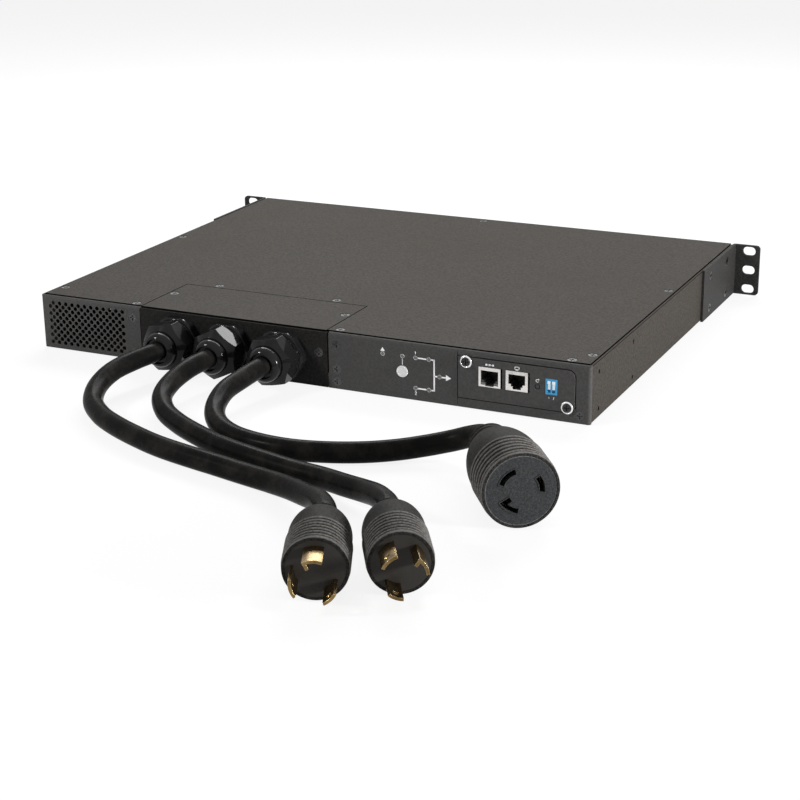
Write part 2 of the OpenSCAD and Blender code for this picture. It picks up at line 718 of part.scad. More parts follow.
module dip_body() color("#2f7fc4") difference() {
  union() {
    on_front(dip_x, dip_z) translate([-dip_w / 2, -dip_h / 2, card_proud + 0.1 - dip_depth])
      cube([dip_w, dip_h, dip_depth]);
    block([dip_x - dip_w / 2, front + 2, card_board_z], [dip_x + dip_w / 2, front + 5, dip_z + dip_h / 2]);
  }
  for (s = [-1, 1]) on_front(dip_x + s * slider_step, dip_z)
    translate([-slider_w / 2 - 0.1, -(slider_h + slider_travel) / 2 - 0.1, card_proud + 0.1 - slider_t])
      cube([slider_w + 0.2, slider_h + slider_travel + 0.2, slider_t + cut]);
}

// A slider lies at the upper end of its window and moves down.
module slider(s) on_front(dip_x + s * slider_step, dip_z + slider_travel / 2) {
  translate([-slider_w / 2, -slider_h / 2, card_proud + 0.15 - slider_t])
    cube([slider_w, slider_h, slider_t - 0.25]);
  translate([-slider_w / 2, slider_h / 2 - 2, card_proud - 0.5]) cube([slider_w, 2, 1.1]);
}

module dip_slider_1() color("white") slider(-1);
module dip_slider_2() color("white") slider(1);

// ---------- glands ----------

gland_x = [box_x0 + gland_inset, box_x0 + gland_inset + gland_step_a,
           box_x0 + gland_inset + gland_step_a + gland_step_b];
gland_wall = sheet_t;
seal_r = cord_d / 2 + 0.1;
cavity_r = 14.75;

module at_gland(i) on_front(gland_x[i], gland_z) children();
module hexagon(af, h, turn = 0) rotate(turn) cylinder(r = af / 2 / cos(30), h = h, $fn = 6);

gland_step = 2.8;                // from the body's hexagon to the nut
ratchet_r = 16.6;
ratchet_h = 1.8;
ratchet_teeth = 24;
corner_r = gland_body_af / 2 + 1.3; // radius to which the body's corners are turned

// A body with turned corners, a toothed ring under the nut, clamping fingers and a thread.
module gland_body() difference() {
  union() {
    intersection() {
      hexagon(gland_body_af, gland_body_h);
      union() {
        cylinder(r = corner_r, h = gland_body_h - 1);
        translate([0, 0, gland_body_h - 1]) cylinder(r1 = corner_r, r2 = corner_r - 1.6, h = 1);
      }
    }
    translate([0, 0, gland_body_h]) cylinder(r = ratchet_r, h = ratchet_h);
    translate([0, 0, gland_body_h]) cylinder(r = 14.4, h = 13);
    translate([0, 0, -gland_wall - 8]) cylinder(r = gland_thread_r, h = gland_wall + 8);
  }
  for (k = [1:ratchet_teeth]) rotate(k * 360 / ratchet_teeth)
    translate([ratchet_r + 0.2, 0, gland_body_h + 0.2]) cylinder(r = 0.7, h = ratchet_h + cut, $fn = 16);
  translate([0, 0, -gland_wall - 8 - cut]) cylinder(r = cord_d / 2 + 1.2, h = 60);
  translate([0, 0, gland_body_h + 4]) cylinder(r = gland_mouth_r - 0.2, h = 20);
}

// A clamping nut: a hexagon with turned corners and a stepped round nose.
nut_corner_r = gland_nut_af / 2 + 2.6;
nut_cone_h = 4.2;
module gland_nut(turn) translate([0, 0, gland_body_h + gland_step]) difference() {
  union() {
    intersection() {
      hexagon(gland_nut_af, gland_nut_h, turn);
      union() {
        cylinder(r1 = nut_corner_r - 2, r2 = nut_corner_r, h = 1.5);
        translate([0, 0, 1.5]) cylinder(r = nut_corner_r, h = gland_nut_h - 1.5 - nut_cone_h);
        translate([0, 0, gland_nut_h - nut_cone_h])
          cylinder(r1 = nut_corner_r, r2 = gland_nose_r + 0.6, h = nut_cone_h);
      }
    }
    translate([0, 0, gland_nut_h]) rotate_extrude() nose_section();
  }
  translate([0, 0, -cut]) cylinder(r = cavity_r, h = gland_nut_h - 2.5);
  cylinder(r = gland_mouth_r, h = 60);
}

// Half section of the nose: a groove and then a dome, which ends at the mouth.
nose_groove = 0.9;
dome_r = 5.2;
module nose_section() {
  translate([0, -cut]) square([gland_nose_r - nose_groove, gland_nose_h - dome_r + cut + 1]);
  translate([0, nose_groove]) square([gland_nose_r, gland_nose_h - dome_r - nose_groove]);
  translate([gland_nose_r - dome_r, gland_nose_h - dome_r]) intersection() {
    circle(dome_r);
    square(dome_r);
  }
  square([gland_nose_r - dome_r + 0.1, gland_nose_h]);
}

module gland_seal() translate([0, 0, gland_body_h + 4.3]) difference() {
  cylinder(r = gland_mouth_r - 0.35, h = gland_nut_h + gland_nose_h - 4.3);
  translate([0, 0, -cut]) cylinder(r = seal_r, h = 60);
}

module gland_locknut() translate([0, 0, -gland_wall - 5]) difference() {
  hexagon(30, 5);
  translate([0, 0, -cut]) cylinder(r = gland_thread_r + 0.05, h = 7);
}

module gland_body_a() color(nylon_black) at_gland(0) gland_body();
module gland_body_b() color(nylon_black) at_gland(1) gland_body();
module gland_body_c() color(nylon_black) at_gland(2) gland_body();
module gland_nut_a() color(nylon_black) at_gland(0) gland_nut(10);
module gland_nut_b() color(nylon_black) at_gland(1) gland_nut(25);
module gland_nut_c() color(nylon_black) at_gland(2) gland_nut(10);
module gland_seals() color(rubber_black) for (i = [0:2]) at_gland(i) gland_seal();
module gland_locknuts() color(nylon_black) for (i = [0:2]) at_gland(i) gland_locknut();

// ---------- cords ----------

// Routes of the cords' centrelines: x from the middle of the case, y from its
// connection side, z from the surface that it stands on.
jacket_end = 14;
cord_rest_z = cord_d / 2;
route_a = [
  [-98, jacket_end, 20.5], [-98, -18, 20.5], [-98, -32, 20.5], [-103, -50, 19.5], [-108, -71, 17],
  [-107, -92, 12.5], [-98, -111, 8.5], [-81, -127, 7], [-61, -140, 7], [-39, -151, 7],
  [-15, -161, 7], [9, -168, 7], [34, -174, 7], [58, -180, 7], [80, -187, 8], [100, -197, 10.5],
  [118, -209, 13.5], [133, -221, 17], [144, -234, 18.5], [148.5, -244, 18.5]
];
route_b = [
  [-56, jacket_end, 20.5], [-56, -18, 20.5], [-56, -32, 20.5], [-59, -50, 19], [-60, -71, 15.5],
  [-56, -90, 11.5], [-43, -107, 8.5], [-25, -120, 7], [-5, -132, 7], [17, -143, 7],
  [39, -151, 7], [63, -158, 7], [86, -164, 7], [109, -170, 8], [129, -180, 10.5],
  [147, -190, 13.5], [161, -201, 17], [173, -213, 18.5], [179, -223, 18.5]
];
route_c = [
  [-12, jacket_end, 20.5], [-12, -18, 20.5], [-12, -32, 20.5], [-15, -52, 18], [-17, -73, 15],
  [-12, -94, 10.5], [1, -112, 8], [20, -125, 7], [43, -132, 7], [67, -133, 7],
  [90, -128, 7], [111, -119, 7], [129, -108, 7.5], [144, -98, 9], [160, -93, 13],
  [174, -94, 18.5], [186, -102, 23.5], [194, -113, 23.5]
];

function last(v) = v[len(v) - 1];
function unit(v) = v / norm(v);
function heading(route) = let (a = route[len(route) - 2], b = last(route)) atan2(b.y - a.y, b.x - a.x);
// Direction of the route at point i, which is level at the end.
function run_of(route, i) = i == 0 ? unit(route[1] - route[0])
  : i == len(route) - 1 ? [cos(heading(route)), sin(heading(route)), 0]
  : unit(route[i + 1] - route[i - 1]);
function ring(route, i, r, sides) = let (t = run_of(route, i), u = unit(cross(t, [0, 0, 1])), v = cross(u, t))
  [for (k = [0:sides - 1]) let (a = (k + 0.5) * 360 / sides) route[i] + r * (cos(a) * u + sin(a) * v)];

// A tube swept along a route, closed at both ends.
module tube(route, r, sides) {
  n = len(route);
  points = [for (i = [0:n - 1]) each ring(route, i, r, sides)];
  walls = [for (i = [0:n - 2]) for (k = [0:sides - 1]) let (m = (k + 1) % sides)
    [i * sides + k, i * sides + m, (i + 1) * sides + m, (i + 1) * sides + k]];
  start = [for (k = [sides - 1:-1:0]) k];
  end = [for (k = [0:sides - 1]) (n - 1) * sides + k];
  polyhedron(points, concat(walls, [start, end]), convexity = 6);
}

module cord(route) color(rubber_black) translate([0, front, 0]) tube(route, cord_d / 2, 10);
module input_cord_a() cord(route_a);
module input_cord_b() cord(route_b);
module output_cord() cord(route_c);

// Puts a piece on the end of a cord: +Z leads away from the cord, +X points down.
module on_cord(route) translate([0, front, 0] + last(route)) rotate([0, 0, heading(route)])
  rotate([0, 90, 0]) children();

// Half section of a moulded grip: a neck with two rings, a round shoulder and a ribbed barrel.
rib_h = 0.8;
ring_w = 2;
module grip_section(l, neck_r, neck_l, r, ribs, pitch, shoulder_l) {
  barrel_r = r - rib_h;
  rise = barrel_r - neck_r + 0.6;      // the shoulder's arc comes out of the neck
  run = shoulder_l - neck_l;
  arc_r = (run * run + rise * rise) / (2 * rise);
  square([neck_r - 0.5, neck_l + 2]);
  for (z = [0, neck_l / 2]) translate([0, z]) {
    square([neck_r - ring_w / 2, ring_w]);
    translate([neck_r - ring_w / 2, ring_w / 2]) circle(ring_w / 2, $fn = 24);
  }
  intersection() {
    translate([barrel_r - arc_r, shoulder_l]) circle(arc_r, $fn = 180);
    translate([0, neck_l]) square([r, run]);
  }
  translate([0, shoulder_l]) square([barrel_r, l - shoulder_l]);
  for (i = [0:ribs - 1]) translate([barrel_r - 0.2, l - 4.8 - i * pitch]) circle(rib_h + 0.2, $fn = 24);
  translate([0, l - 3]) square([r - 0.4, 2.2]);
  translate([0, l - 3]) square([r - 1.2, 3]);
  translate([r - 1.2, l - 0.8]) circle(0.8, $fn = 24);
}

pocket_d = 7;
face_r = plug_r - 2.2;
connector_pocket_d = 21;
connector_face_r = connector_r - 2.2;

module plug_body() difference() {
  rotate_extrude()
    grip_section(l = plug_l, neck_r = 9.2, neck_l = 6.6, r = plug_r, ribs = 7, pitch = 3.7, shoulder_l = 30);
  translate([0, 0, plug_l - pocket_d]) cylinder(r = face_r + 0.1, h = pocket_d + cut);
}

// Sector of a ring between two radii and two angles, from height z0 to z1.
module arc_bar(r0, r1, a0, a1, z0, z1) rotate(a0) translate([0, 0, z0])
  rotate_extrude(angle = a1 - a0) translate([r0, 0]) square([r1 - r0, z1 - z0]);

// The three blades, or with a clearance their slots. The first blade has a foot at one end.
foot_span = 48;
wide_span = 48;
narrow_span = 39;
wide_turn = 102;                 // turns from the first blade to the others
narrow_turn = -140;
foot_l = 3.2;
module blade_set(roll, hand, z0, z1, clear) rotate(roll + 90) mirror([0, hand < 0 ? 1 : 0, 0]) {
  r0 = blade_circle_r - blade_t / 2 - clear;
  r1 = blade_circle_r + blade_t / 2 + clear;
  grow = clear * 360 / (2 * PI * blade_circle_r);
  arc_bar(r0, r1, -foot_span / 2 - grow, foot_span / 2 + grow, z0, z1);
  rotate(foot_span / 2) translate([r0 - foot_l, -blade_t - clear, z0])
    cube([foot_l + clear, blade_t + 2 * clear, z1 - z0]);
  for (b = [[wide_turn, wide_span], [narrow_turn, narrow_span]])
    arc_bar(r0, r1, b[0] - b[1] / 2 - grow, b[0] + b[1] / 2 + grow, z0, z1);
}

module plug_face(roll) translate([0, 0, plug_l]) difference() {
  translate([0, 0, -pocket_d]) cylinder(r = face_r, h = pocket_d - 0.2);
  blade_set(roll, 1, -pocket_d - cut, cut, 0.05);
}

module plug_blades(roll) translate([0, 0, plug_l]) difference() {
  blade_set(roll, 1, -pocket_d, blade_l, 0);
  for (a = [wide_turn, narrow_turn]) rotate(roll + 90 + a) translate([0, 0, blade_l - 5]) rotate([0, 90, 0])
    cylinder(r = 1.7, h = 30);
}

roll_a = 92;
roll_b = 28;
roll_c = -125;

module plug_body_a() color(rubber_black) on_cord(route_a) plug_body();
module plug_body_b() color(rubber_black) on_cord(route_b) plug_body();
module plug_face_a() color("#38372f") on_cord(route_a) plug_face(roll_a);
module plug_face_b() color("#38372f") on_cord(route_b) plug_face(roll_b);
module plug_blades_a() color(brass_yellow) on_cord(route_a) plug_blades(roll_a);
module plug_blades_b() color(brass_yellow) on_cord(route_b) plug_blades(roll_b);

module connector_body() color(rubber_black) on_cord(route_c) difference() {
  rotate_extrude() grip_section(l = connector_l, neck_r = 13.4, neck_l = 8, r = connector_r,
                                ribs = 6, pitch = 4.6, shoulder_l = 44);
  translate([0, 0, connector_l - connector_pocket_d])
    cylinder(r = connector_face_r + 0.1, h = connector_pocket_d + cut);
}

slot_clear = 0.7;
slot_rim = 0.7;                  // width of the raised rim round each slot
module connector_face() color("#3d3d3d") on_cord(route_c) translate([0, 0, connector_l]) difference() {
  union() {
    translate([0, 0, -connector_pocket_d]) cylinder(r = connector_face_r, h = connector_pocket_d - 0.4);
    blade_set(roll_c, -1, -cut, -0.1, slot_clear + slot_rim);
  }
  blade_set(roll_c, -1, -connector_pocket_d + 2, cut, slot_clear);
}

// A spring leaf against the outer wall of each slot.
module connector_contacts() color(brass_yellow) on_cord(route_c) translate([0, 0, connector_l])
  rotate(roll_c + 90) mirror([0, 1, 0]) {
    r1 = blade_circle_r + blade_t / 2 + slot_clear;
    for (s = [[0, foot_span], [wide_turn, wide_span], [narrow_turn, narrow_span]])
      arc_bar(r1 - 0.55, r1 - 0.05, s[0] - s[1] / 2 + 4, s[0] + s[1] / 2 - 4, -connector_pocket_d + 2, -9);
  }

// ---------- inside ----------

lead_z = 13;
block_y = 36;
block_d = 20;
board_y = box_d + 25;
floor_z = sheet_t;
board_z = floor_z + spacer_l;
board_top = board_z + board_t;
power_x0 = box_x0 + 15;
power_x1 = card_x0 - 12;
power_d = 210;
control_x0 = card_x0 - 4;
control_x1 = card_x1 - 2;
control_y = cage_d + 12;
control_d = 170;
spacer_inset = 6;
power_spacers = [for (x = [power_x0 + spacer_inset, power_x1 - spacer_inset])
  for (y = [spacer_inset, power_d / 2, power_d - spacer_inset]) [x, board_y + y]];
control_spacers = [for (x = [control_x0 + spacer_inset, control_x1 - spacer_inset])
  for (y = [spacer_inset, control_d - spacer_inset]) [x, control_y + y]];

module barrier_block(x, y, z) difference() {
  block([x - block_w / 2, front + y, z], [x + block_w / 2, front + y + block_d, z + block_h]);
  for (k = [-1, 0, 1]) translate([x + k * 9, front + y + block_d / 2, z + block_h / 2 + 1])
    cylinder(r = 3.2, h = block_h);
}

module terminal_blocks() color("#34312c") for (x = gland_x) {
  barrier_block(x, block_y, floor_z);
  barrier_block(x, board_y, board_top);
}

// Three cores fan out from the end of each jacket to a terminal block.
module cord_leads() for (x = gland_x) for (k = [-1, 0, 1])
  color(lead_colours[k + 1]) translate([0, front, 0])
    tube([[x + k * 3, jacket_end, gland_z + (k == 0 ? 3.5 : -1.8)],
          [x + k * 3, jacket_end + 4, gland_z + (k == 0 ? 3.5 : -1.8)],
          [x + k * 6, jacket_end + 11, 16.5], [x + k * 9, block_y - 4, lead_z],
          [x + k * 9, block_y, lead_z]],
         lead_r, 8);

module feed_leads() for (x = gland_x) for (k = [-1, 0, 1])
  color(lead_colours[k + 1])
    translate([x + k * 9, front + block_y + block_d, lead_z]) rotate([-90, 0, 0])
      cylinder(r = lead_r, h = board_y - block_y - block_d);

module power_board() color(board_green)
  block([power_x0, front + board_y, board_z], [power_x1, front + board_y + power_d, board_top]);

module control_board() color(board_green)
  block([control_x0, front + control_y, board_z], [control_x1, front + control_y + control_d, board_top]);

module spacer() difference() {
  cylinder(r = 3, h = spacer_l, $fn = 6);
  translate([0, 0, -cut]) cylinder(d = screw_d, h = spacer_l + 2 * cut);
}

module spacers() color(steel) {
  for (p = concat(power_spacers, control_spacers)) translate([p.x, front + p.y, floor_z]) spacer();
  for (p = display_spacers) on_front(p.x, p.y, board_front) spacer();
}

sink_x0 = left + sink_inset;
sink_w = power_x0 - 3 - sink_x0;
sink_y = box_d + 26;
sink_base = 5;
shoulder_w = 42;
fins = floor((sink_w - shoulder_w - fin_t) / fin_pitch);

module heat_sink() color("#a9adb0") translate([sink_x0, front + sink_y, floor_z]) {
  cube([sink_w, sink_l, sink_base]);
  for (i = [0:fins]) translate([i * fin_pitch, 0, 0]) cube([fin_t, sink_l, sink_base + fin_h]);
}

thyristor = [38, 25, 9];
stud_r = 4;
stud_h = 3;
stud_step = 20;
module thyristor_modules() color("#2b2b2e")
  for (i = [0.5:3.5])
    translate([sink_x0 + sink_w - shoulder_w / 2, front + sink_y + i * sink_l / 4, floor_z + sink_base]) {
    translate([-thyristor.x / 2, -thyristor.y / 2, 0]) cube(thyristor);
    for (k = [-0.5, 0.5]) translate([k * stud_step, 0, 0]) cylinder(r = stud_r, h = thyristor.z + stud_h);
  }

// Places a piece on the power board, counted from the board's corner near the terminal blocks.
module on_power_board(x, y) translate([power_x0 + x, front + board_y + y, board_top]) children();

// Two small mains transformers, one for each source: a core in three parts and a coil.
core = [40, 34, 10];
coil = [28, 42, 9];
transformer_step = 60;
transformer_inset = 12;
module supply_transformers() color("#6b6157") for (k = [0, 1])
  on_power_board(power_x1 - power_x0 - core.x - transformer_inset, core.x + k * transformer_step) {
    for (z = [0, core.z + coil.z]) translate([0, 0, z]) cube(core);
    translate([(core.x - coil.x) / 2, (core.y - coil.y) / 2, core.z]) cube(coil);
  }

// Four film capacitors in boxes and two round ones.
film = [18, 12, 19];
film_step = 26;
can_r = 11;
can_h = 25;
module filter_capacitors() color("#8d8f93") {
  for (k = [0:3]) on_power_board(2 * film.y + k * film_step, film.y * 5) cube(film);
  for (k = [0:1]) on_power_board(3 * can_r + k * 3 * can_r, can_r * 10) cylinder(r = can_r, h = can_h);
}

// Ceramic fuses, each lying in its two clips.
fuse_r = 5;
fuse_l = 38;
clip = [6, 8, 6];
fuse_step = 60;
module input_fuses() color("#d9d3c4") for (k = [0:1]) on_power_board(fuse_l + k * fuse_step, 4.2 * fuse_l) {
  translate([0, 0, clip.z]) rotate([0, 90, 0]) cylinder(r = fuse_r, h = fuse_l);
  for (x = [clip.x / 2, fuse_l - clip.x * 1.5]) translate([x, -clip.y / 2, 0]) cube(clip);
}

// ---------- nodes ----------

chassis_tray();
top_cover();
wiring_lid();
wiring_box();
vent_panel();
gland_panel();
display_panel();
left_ear();
right_ear();
case_screws();
ear_screws();
card_faceplate();
captive_screws();
card_board();
card_cage();
card_guides();
network_jack();
local_jack();
jack_inserts();
jack_contacts();
test_button();
test_switch();
reset_button();
reset_switch();
dip_body();
dip_slider_1();
dip_slider_2();
display_board();
spacers();
light_pipes();
gland_body_a();
gland_body_b();
gland_body_c();
gland_nut_a();
gland_nut_b();
gland_nut_c();
gland_seals();
gland_locknuts();
input_cord_a();
input_cord_b();
output_cord();
plug_body_a();
plug_body_b();
plug_face_a();
plug_face_b();
plug_blades_a();
plug_blades_b();
connector_body();
connector_face();
connector_contacts();
terminal_blocks();
cord_leads();
feed_leads();
power_board();
heat_sink();
thyristor_modules();
supply_transformers();
filter_capacitors();
input_fuses();
control_board();
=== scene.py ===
import json
import math

import bmesh
import bpy
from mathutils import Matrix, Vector


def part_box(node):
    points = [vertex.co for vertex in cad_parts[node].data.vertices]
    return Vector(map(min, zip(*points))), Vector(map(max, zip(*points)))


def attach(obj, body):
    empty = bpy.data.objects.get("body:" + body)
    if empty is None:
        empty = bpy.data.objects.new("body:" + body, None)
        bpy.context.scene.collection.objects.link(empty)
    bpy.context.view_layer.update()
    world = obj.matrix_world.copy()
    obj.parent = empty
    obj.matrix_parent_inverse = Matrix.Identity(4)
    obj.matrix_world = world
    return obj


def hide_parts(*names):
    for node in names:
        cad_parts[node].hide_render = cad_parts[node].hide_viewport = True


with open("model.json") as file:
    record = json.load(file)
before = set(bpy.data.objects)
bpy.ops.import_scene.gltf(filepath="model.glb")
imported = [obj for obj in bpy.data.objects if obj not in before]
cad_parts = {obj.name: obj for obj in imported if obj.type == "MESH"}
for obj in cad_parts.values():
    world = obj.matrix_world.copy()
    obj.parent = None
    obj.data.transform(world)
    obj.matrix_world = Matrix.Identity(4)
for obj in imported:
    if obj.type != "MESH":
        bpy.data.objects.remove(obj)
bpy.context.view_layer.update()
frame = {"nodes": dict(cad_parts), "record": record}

MM = 0.001
CASE = "chassis"                        # the body that the jackets and the printed marks ride on
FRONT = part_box("gland_panel")[0].y      # plane of the connection side
CASE_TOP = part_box("top_cover")[1].z
CORD_R = 7 * MM
RIB = 0.8                               # height of the ribs round the plugs, in millimetres
COVER_EDGE = 1.49                       # height of the covers' upright edges, in millimetres


# ---------- camera ----------

SENSOR, FOCAL = 36, 80.15                       # in millimetres
CAMERA_PLACE = (0.583, -1.0497, 0.4105)         # in metres, the second one from the connection side
CAMERA_TURN = (70.516, 0.716, 25.356)           # in degrees


def make_camera():
    lens = bpy.data.cameras.new("camera")
    lens.sensor_width = SENSOR
    lens.lens = FOCAL
    lens.clip_start = 0.05
    camera = bpy.data.objects.new("camera", lens)
    x, y, z = CAMERA_PLACE
    camera.location = (x, FRONT + y, z)
    camera.rotation_euler = [math.radians(angle) for angle in CAMERA_TURN]
    bpy.context.scene.collection.objects.link(camera)
    bpy.context.scene.camera = camera


make_camera()


# ---------- meshes ----------

def add_mesh(name, mesh, finish, smooth=True):
    """Makes an object from a bmesh, gives it its finish and lets it ride on the case."""
    data = bpy.data.meshes.new(name)
    bmesh.ops.recalc_face_normals(mesh, faces=mesh.faces)
    mesh.to_mesh(data)
    mesh.free()
    piece = bpy.data.objects.new(name, data)
    bpy.context.scene.collection.objects.link(piece)
    for face in data.polygons:
        face.use_smooth = smooth
    data.materials.append(FINISHES[finish])
    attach(piece, CASE)
    return piece


def skin(mesh, rings):
    """Joins rings of points, all with as many points, into a tube with its ends closed."""
    rows = [[mesh.verts.new(point) for point in ring] for ring in rings]
    count = len(rows[0])
    for near, far in zip(rows, rows[1:]):
        for k in range(count):
            j = (k + 1) % count
            mesh.faces.new((near[k], near[j], far[j], far[k]))
    mesh.faces.new(rows[0][::-1])
    mesh.faces.new(rows[-1])


# ---------- cords ----------

# Centreline points: across the case, out from its connection side, and up, in millimetres.
ROUTES = {
    "input_cord_a": [
        (-98, 14, 20.5), (-98, -18, 20.5), (-98, -32, 20.5), (-103, -50, 19.5), (-108, -71, 17),
        (-107, -92, 12.5), (-98, -111, 8.5), (-81, -127, 7), (-61, -140, 7), (-39, -151, 7),
        (-15, -161, 7), (9, -168, 7), (34, -174, 7), (58, -180, 7), (80, -187, 8), (100, -197, 10.5),
        (118, -209, 13.5), (133, -221, 17), (144, -234, 18.5), (148.5, -244, 18.5)],
    "input_cord_b": [
        (-56, 14, 20.5), (-56, -18, 20.5), (-56, -32, 20.5), (-59, -50, 19), (-60, -71, 15.5),
        (-56, -90, 11.5), (-43, -107, 8.5), (-25, -120, 7), (-5, -132, 7), (17, -143, 7),
        (39, -151, 7), (63, -158, 7), (86, -164, 7), (109, -170, 8), (129, -180, 10.5),
        (147, -190, 13.5), (161, -201, 17), (173, -213, 18.5), (179, -223, 18.5)],
    "output_cord": [
        (-12, 14, 20.5), (-12, -18, 20.5), (-12, -32, 20.5), (-15, -52, 18), (-17, -73, 15),
        (-12, -94, 10.5), (1, -112, 8), (20, -125, 7), (43, -132, 7), (67, -133, 7),
        (90, -128, 7), (111, -119, 7), (129, -108, 7.5), (144, -98, 9), (160, -93, 13),
        (174, -94, 18.5), (186, -102, 23.5), (194, -113, 23.5)],
}


def route_points(name):
    return [Vector((x * MM, FRONT + y * MM, z * MM)) for x, y, z in ROUTES[name]]


def smooth_line(points, steps=7):
    """A smooth curve through the points, level and straight at both ends."""
    first = points[0] * 2 - points[1]
    last = points[-1] * 2 - points[-2]
    last.z = points[-1].z
    padded = [first, *points, last]
    line = []
    for a, b, c, d in zip(padded, padded[1:], padded[2:], padded[3:]):
        for step in range(steps):
            t = step / steps
            line.append(0.5 * ((2 * b) + (c - a) * t + (2 * a - 5 * b + 4 * c - d) * t ** 2
                               + (3 * b - 3 * c + d - a) * t ** 3))
    line.append(points[-1])
    return line


def cord_end(name):
    """The last point of a cord and the level direction in which its plug points."""
    *_, before, end = route_points(name)
    return end, Vector((end.x - before.x, end.y - before.y, 0)).normalized()


def line_length(line):
    return sum((b - a).length for a, b in zip(line, line[1:]))


def tube_rings(line, radius, sides=28):
    rings = []
    for i, point in enumerate(line):
        ahead = (line[min(i + 1, len(line) - 1)] - line[max(i - 1, 0)]).normalized()
        side = ahead.cross(Vector((0, 0, 1))).normalized()
        up = side.cross(ahead)
        rings.append([point + radius * (math.cos(a) * side + math.sin(a) * up)
                      for a in (k * math.tau / sides for k in range(sides))])
    return rings


def make_cord(name):
    line = smooth_line(route_points(name))
    mesh = bmesh.new()
    skin(mesh, tube_rings(line, CORD_R))
    piece = add_mesh(name + "_jacket", mesh, "cord_rubber")
    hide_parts(name)
    round(line_length(line), 3)


# ---------- shader maths ----------

class Wire:
    """A shader socket that Python's arithmetic works on: each operation adds a Math node."""

    def __init__(self, finish, socket):
        self.finish, self.socket = finish, socket

    def math(self, operation, *values):
        return self.finish.node("ShaderNodeMath", {"operation": operation}, values)

    def __add__(self, other):
        return self.math("ADD", self, other)

    def __sub__(self, other):
        return self.math("SUBTRACT", self, other)

    def __rsub__(self, other):
        return self.math("SUBTRACT", other, self)

    def __mul__(self, other):
        return self.math("MULTIPLY", self, other)

    def __truediv__(self, other):
        return self.math("DIVIDE", self, other)

    def __pow__(self, other):
        return self.math("POWER", self, other)

    __radd__, __rmul__ = __add__, __mul__

    def least(self, other):
        return self.math("MINIMUM", self, other)

    def step(self, low, high):
        """0 below low, 1 above high and smooth between them."""
        return self.finish.node("ShaderNodeMapRange", {"interpolation_type": "SMOOTHSTEP"},
                                {"Value": self, "From Min": low, "From Max": high})


class Finish:
    """One material. node() adds any node, and shade() sets the shader's sockets."""

    def __init__(self, name):
        self.material = bpy.data.materials.new(name)
        self.material.use_nodes = True
        self.tree = self.material.node_tree
        self.shader = self.tree.nodes["Principled BSDF"]
        self.place = self.node("ShaderNodeTexCoord", output="Object")

    def node(self, kind, settings=None, inputs=(), output=0):
        node = self.tree.nodes.new(kind)
        for key, value in (settings or {}).items():
            setattr(node, key, value)
        for key, value in inputs.items() if isinstance(inputs, dict) else enumerate(inputs):
            self.join(value, node.inputs[key])
        return Wire(self, node.outputs[output])

    def join(self, value, socket):
        if isinstance(value, Wire):
            self.tree.links.new(value.socket, socket)
        else:
            socket.default_value = value

    def shade(self, **sockets):
        for key, value in sockets.items():
            if isinstance(value, tuple):
                value = (*value, 1)
            self.join(value, self.shader.inputs[key.replace("_", " ").title().replace("Ior", "IOR")])
        return self.material

    def noise(self, size, detail=2.0, stretch=(1, 1, 1), roughness=0.5):
        """Noise from 0 to 1 with features of about that size in millimetres."""
        place = self.node("ShaderNodeVectorMath", {"operation": "MULTIPLY"}, (self.place, stretch))
        return self.node("ShaderNodeTexNoise", None,
                         {"Vector": place, "Scale": 1 / (size * MM), "Detail": detail, "Roughness": roughness})

    def coordinates(self):
        """The place on the surface in millimetres, as three numbers."""
        return [self.node("ShaderNodeSeparateXYZ", None, (self.place,), output=k) * (1 / MM) for k in range(3)]

    def distance(self, start, ahead):
        """Distance from an axis in millimetres."""
        away = [value - centre / MM for value, centre in zip(self.coordinates(), start)]
        along = away[0] * ahead.x + away[1] * ahead.y + away[2] * ahead.z
        return (away[0] ** 2 + away[1] ** 2 + away[2] ** 2 - along ** 2) ** 0.5

    def blend(self, amount, a, b):
        """Mixes two colours."""
        a, b = ((*c, 1) if isinstance(c, tuple) else c for c in (a, b))
        return self.node("ShaderNodeMix", {"data_type": "RGBA"}, {0: amount, 6: a, 7: b}, output=2)

    def rounded(self, radius):
        """The normal of a surface whose edges have that radius in millimetres."""
        return self.node("ShaderNodeBevel", {"samples": 6}, {"Radius": radius * MM})

    def edges(self, rounded):
        """1 on the edges that the rounded normal rounds, and 0 on the flats."""
        flat = self.node("ShaderNodeNewGeometry", output="Normal")
        same = self.node("ShaderNodeVectorMath", {"operation": "DOT_PRODUCT"}, (rounded, flat), output="Value")
        return (1 - same).step(0.005, 0.16)

    def bumps(self, height, depth, normal=None):
        """The normal of a surface with that height map, depth millimetres deep."""
        inputs = {"Height": height, "Distance": depth * MM, "Strength": 1}
        if normal:
            inputs["Normal"] = normal
        return self.node("ShaderNodeBump", None, inputs)


def grey(level, warmth=0.0):
    return (level * (1 + warmth), level, level * (1 - warmth))


# ---------- finishes ----------

